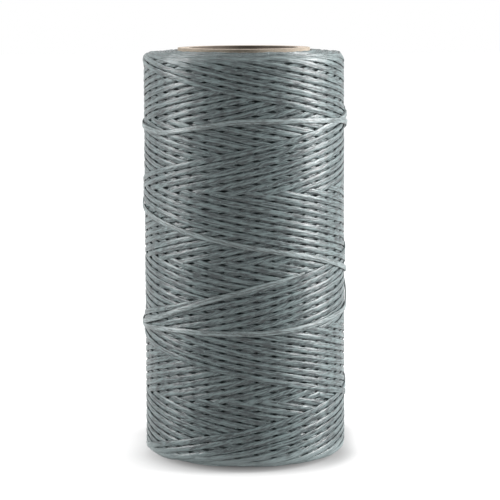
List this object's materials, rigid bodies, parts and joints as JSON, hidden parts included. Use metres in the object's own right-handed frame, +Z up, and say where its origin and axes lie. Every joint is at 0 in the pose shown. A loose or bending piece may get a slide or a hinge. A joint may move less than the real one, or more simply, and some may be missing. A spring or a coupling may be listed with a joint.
{
  "type": "thread spool",
  "caption": "Cross-wound spool of flat waxed thread on an open paper tube, for hand sewing leather.",
  "frame": {"origin": "centre of the tube's lower end, on which the spool stands", "axes": "+Z up along the tube's axis; -Y is the side that the picture shows"},
  "size_m": [0.053, 0.053, 0.1074],
  "materials": {
    "waxed_thread": "satin",
    "tube_board": "matte",
    "tube_liner": "matte"
  },
  "bodies": {
    "root": {"liner_ply": "tube_liner", "body_ply_1": "tube_board", "body_ply_2": "tube_board", "body_ply_3": "tube_board", "body_ply_4": "tube_board", "outer_ply": "tube_board", "thread_package": "waxed_thread", "outer_turns": "waxed_thread"}
  },
  "joints": []
}
